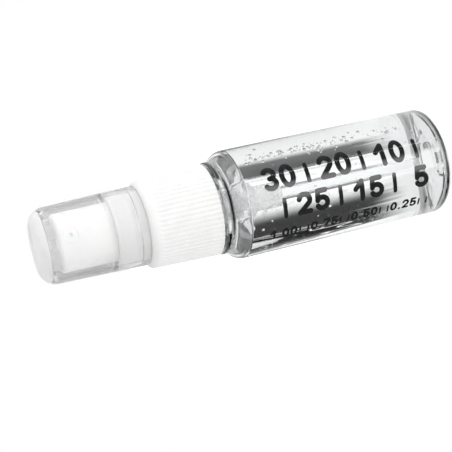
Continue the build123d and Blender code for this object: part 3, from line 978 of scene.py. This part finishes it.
def coil_shape(radius, wire, turns, bottom, top):
    """Round wire on a helix: centre (R cos a, R sin a, start + rise a / 2 pi), with a ring of
    radius wire / 2 in the plane across the wire, and a flat face at each end."""
    rise = (top - bottom - wire) / turns
    a = np.linspace(0, turns * 2 * np.pi, int(turns * 40) + 1)[:, None]
    sides = 12
    v = (np.arange(sides) * 2 * np.pi / sides)[None, :]
    slope = math.atan2(rise, 2 * np.pi * radius)
    out = radius + wire / 2 * np.cos(v)
    lift = wire / 2 * np.sin(v)
    x = out * np.cos(a) + lift * math.sin(slope) * np.sin(a)
    y = out * np.sin(a) - lift * math.sin(slope) * np.cos(a)
    h = bottom + wire / 2 + rise * a / (2 * np.pi) + lift * math.cos(slope)
    points = np.stack(np.broadcast_arrays(x, y, h), -1).reshape(-1, 3)
    return points, *rod_faces(len(a), sides)


def make_springs():
    """Main spring, pressed down by the stem, and the small spring over the piston."""
    for name, node, body, wire, turns, joint, seated, travel in (
        ("main_spring", "return_spring", "pump", 0.5, 6, "actuator_press", "below", 4.5),
        ("piston_spring", "valve_spring", "stem", 0.3, 4, "piston_lag", "above", 0.6),
    ):
        bottom, top = low(node).z, high(node).z
        shape = coil_shape(high(node).x - wire / 2, wire, turns, bottom, top)
        obj = piece(name, shape, body, [spring_steel], [node])
        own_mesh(obj)


def finish_hidden_nodes():
    """Materials for the CAD nodes that keep their own shape inside the pump."""
    finishes = {
        "neck_gasket": foam,
        "stem_seal": seal_rubber,
        "pump_gland": pump_plastic,
        "stem": pump_plastic,
        "stem_plug": pump_plastic,
        "piston": pump_plastic,
        "check_ball": ball_steel,
    }
    for node, material in finishes.items():
        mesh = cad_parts[node].data
        mesh.materials.clear()
        mesh.materials.append(material)


# ---------------- studio
def blended(tree, share, first, second):
    """Mix Shader node from the first shader to the second as share goes from 0 to 1."""
    mix = tree.nodes.new("ShaderNodeMixShader")
    tree.links.new(share, mix.inputs[0])
    tree.links.new(first.outputs[0], mix.inputs[1])
    tree.links.new(second.outputs[0], mix.inputs[2])
    return mix


def make_floor():
    """Plain pale floor: a disc just under the bottle. Light that the plastic bends sees it evenly
    lit near the bottle and fading out further off."""
    material, tree, shader = new_material("floor_white", Emission_Strength=0.45)
    shader.inputs["Emission Color"].default_value = (1, 1, 1, 1)
    add_grain(tree, shader, 40.0, (0.95, 0.95, 0.95), (0.93, 0.93, 0.93), 0.8, 0.9)
    place = tree.nodes.new("ShaderNodeTexCoord")
    reach = tree.nodes.new("ShaderNodeVectorMath")
    reach.operation = "LENGTH"
    tree.links.new(place.outputs["Object"], reach.inputs[0])
    fade = spread(tree, reach.outputs["Value"], 0.018, 0.050, 0.0, 1.0)
    glow = tree.nodes.new("ShaderNodeEmission")
    glow.inputs["Strength"].default_value = 0.9
    gone = tree.nodes.new("ShaderNodeBsdfTransparent")
    path = tree.nodes.new("ShaderNodeLightPath")
    bent = blended(tree, fade, glow, gone)
    seen = blended(tree, path.outputs["Is Transmission Ray"], shader, bent)
    tree.links.new(seen.outputs[0], tree.nodes["Material Output"].inputs["Surface"])
    points, faces, _ = turned(np.array([(420.0, -0.02), (0.0, -0.02)]), 96)
    mesh = bpy.data.meshes.new("floor")
    mesh.from_pydata((points * MM).tolist(), [], faces)
    mesh.materials.append(material)
    obj = placed("floor", mesh)
    obj.visible_glossy = False


def straight(tree, share, start, end):
    """Straight run from start to end as share goes from 0 to 1."""
    return spread(tree, share, 0.0, 1.0, start, end, "LINEAR")


def zone(tree, value, *edges):
    """Rises from 0 to 1 between the first two edges, and falls to 0 between any last two."""
    rise = spread(tree, value, edges[0], edges[1], 0.0, 1.0)
    if len(edges) == 2:
        return rise
    return math_node(tree, "MULTIPLY", rise, spread(tree, value, edges[2], edges[3], 1.0, 0.0))


def screened(tree, level, to, *zones):
    """Level times a factor that goes from 1 to the number to where every zone is 1."""
    share = zones[0]
    for other in zones[1:]:
        share = math_node(tree, "MULTIPLY", share, other)
    return math_node(tree, "MULTIPLY", level, straight(tree, share, 1.0, to))


def make_world():
    """White backdrop and soft, even light. What the clear plastic bends and mirrors is a studio:
    white all round, dark screens low behind the bottle, grey ones at the cap's height, at one side
    and in front, and a bright panel in front. Each zone gives its edges in degrees of turn from
    straight behind, or as the direction's height."""
    world = bpy.data.worlds.new("studio")
    world.use_nodes = True
    bpy.context.scene.world = world
    tree = world.node_tree
    tree.nodes.clear()
    place = tree.nodes.new("ShaderNodeTexCoord")
    parts = tree.nodes.new("ShaderNodeSeparateXYZ")
    tree.links.new(place.outputs["Generated"], parts.inputs[0])
    x, y, z = (parts.outputs[k] for k in ("X", "Y", "Z"))
    heading = math_node(tree, "SUBTRACT", math_node(tree, "ARCTAN2", y, x), view_angle + math.pi)
    turn = math_node(tree, "MULTIPLY", heading, 180 / math.pi)
    back = math_node(tree, "COSINE", heading)
    front = math_node(tree, "MULTIPLY", back, -1.0)
    cloud = tree.nodes.new("ShaderNodeTexNoise")
    cloud.inputs["Scale"].default_value = 26.0
    cloud.inputs["Detail"].default_value = 4.0
    tree.links.new(place.outputs["Generated"], cloud.inputs["Vector"])
    ragged = math_node(tree, "ADD", z, straight(tree, cloud.outputs["Fac"], -0.035, 0.035))
    near_floor = zone(tree, ragged, -0.444, -0.418, -0.27, -0.24)
    level = spread(tree, x, -1.0, 1.0, 0.92, 1.12)
    path = tree.nodes.new("ShaderNodeLightPath")
    mirrored = path.outputs["Is Reflection Ray"]
    dark, grey = straight(tree, mirrored, 0.03, 0.7), straight(tree, mirrored, 0.12, 0.7)
    level = screened(tree, level, dark, zone(tree, turn, -38.0, -32.0, -16.0, -4.5), near_floor)
    level = screened(tree, level, grey, zone(tree, turn, 8.5, 11.0, 20.0, 26.0), near_floor)
    behind = zone(tree, back, 0.3, 0.5)
    level = screened(tree, level, 0.8, zone(tree, z, 0.15, 0.30), behind)
    above = zone(tree, ragged, 0.28, 0.34, 0.46, 0.54)
    level = screened(tree, level, 0.2, above, zone(tree, turn, 5.5, 7.0, 10.0, 13.0))
    aside = zone(tree, math_node(tree, "SINE", heading), 0.75, 0.92)
    level = screened(tree, level, 0.15, aside, mirrored)
    cap_height = zone(tree, math_node(tree, "ABSOLUTE", z), 0.06, 0.10, 0.23, 0.25)
    level = screened(tree, level, 0.34, cap_height, behind)
    facing_low = zone(tree, z, -0.52, -0.48, -0.30, -0.26)
    level = screened(tree, level, 0.16, facing_low, zone(tree, front, 0.3, 0.7))
    panel_height = zone(tree, z, -0.60, -0.50, -0.29, -0.25)
    panel = math_node(tree, "MULTIPLY", zone(tree, front, 0.915, 0.975), panel_height)
    level = math_node(tree, "ADD", level, math_node(tree, "MULTIPLY", panel, 3.4))
    through = math_node(tree, "MINIMUM", path.outputs["Transmission Depth"], 1.0)
    even = spread(tree, x, -1.0, 1.0, 0.78, 1.12)
    boost = spread(tree, z, 0.15, 0.7, 2.5, 0.55)
    even = math_node(tree, "MULTIPLY", even, straight(tree, through, 1.0, boost))
    lit = tree.nodes.new("ShaderNodeMix")
    tree.links.new(math_node(tree, "MINIMUM", path.outputs["Diffuse Depth"], 1.0), lit.inputs[0])
    tree.links.new(level, lit.inputs[2])
    tree.links.new(even, lit.inputs[3])
    shown = tree.nodes.new("ShaderNodeMix")
    tree.links.new(path.outputs["Is Camera Ray"], shown.inputs[0])
    tree.links.new(lit.outputs[0], shown.inputs[2])
    shown.inputs[3].default_value = 1.0
    backdrop = tree.nodes.new("ShaderNodeBackground")
    backdrop.inputs["Color"].default_value = (1, 1, 1, 1)
    tree.links.new(shown.outputs[0], backdrop.inputs["Strength"])
    out = tree.nodes.new("ShaderNodeOutputWorld")
    tree.links.new(backdrop.outputs[0], out.inputs["Surface"])


def make_light(name, place, size, power):
    """Round softbox that points at the bottle's middle."""
    lamp = bpy.data.lights.new(name, "AREA")
    lamp.shape = "DISK"
    lamp.size = size
    lamp.energy = power
    obj = placed(name, lamp)
    obj.location = place
    aim = Vector((0, 0, cad_box[1].z / 2)) - Vector(place)
    obj.rotation_mode = "QUATERNION"
    obj.rotation_quaternion = aim.to_track_quat("-Z", "Y")


def make_camera():
    """Camera that looks down on the bottle at 17.6 degrees, rolled so that its cap is left."""
    heading = view_angle + math.radians(1.06)
    dip = math.radians(17.592)
    roll = math.radians(-103.142)
    flat = math.cos(dip)
    ahead = Vector((-flat * math.cos(heading), -flat * math.sin(heading), -math.sin(dip)))
    level = ahead.cross(Vector((0, 0, 1))).normalized()
    upright = level.cross(ahead)
    right = level * math.cos(roll) + upright * math.sin(roll)
    up = upright * math.cos(roll) - level * math.sin(roll)
    lens = bpy.data.cameras.new("camera")
    lens.lens = 90.0
    lens.sensor_width = 36.0
    lens.clip_start = 0.01
    lens.clip_end = 10.0
    camera = placed("camera", lens)
    turn = Matrix((right, up, -ahead)).transposed().to_4x4()
    reach, height = 0.2918, 0.15603
    place = Vector((reach * math.cos(view_angle), reach * math.sin(view_angle), height))
    camera.matrix_world = Matrix.Translation(place) @ turn
    bpy.context.scene.camera = camera


# ---------------- build
make_bottle()
make_liquid()
make_printed_scale()
make_collar()
make_overcap()
make_button()
make_nozzle()
make_housing()
make_tube()
make_springs()
finish_hidden_nodes()
make_floor()
make_world()
make_light("key_softbox", (0.35, -0.25, 0.45), 0.35, 0.3)
make_camera()
bpy.context.scene.view_settings.view_transform = "Standard"
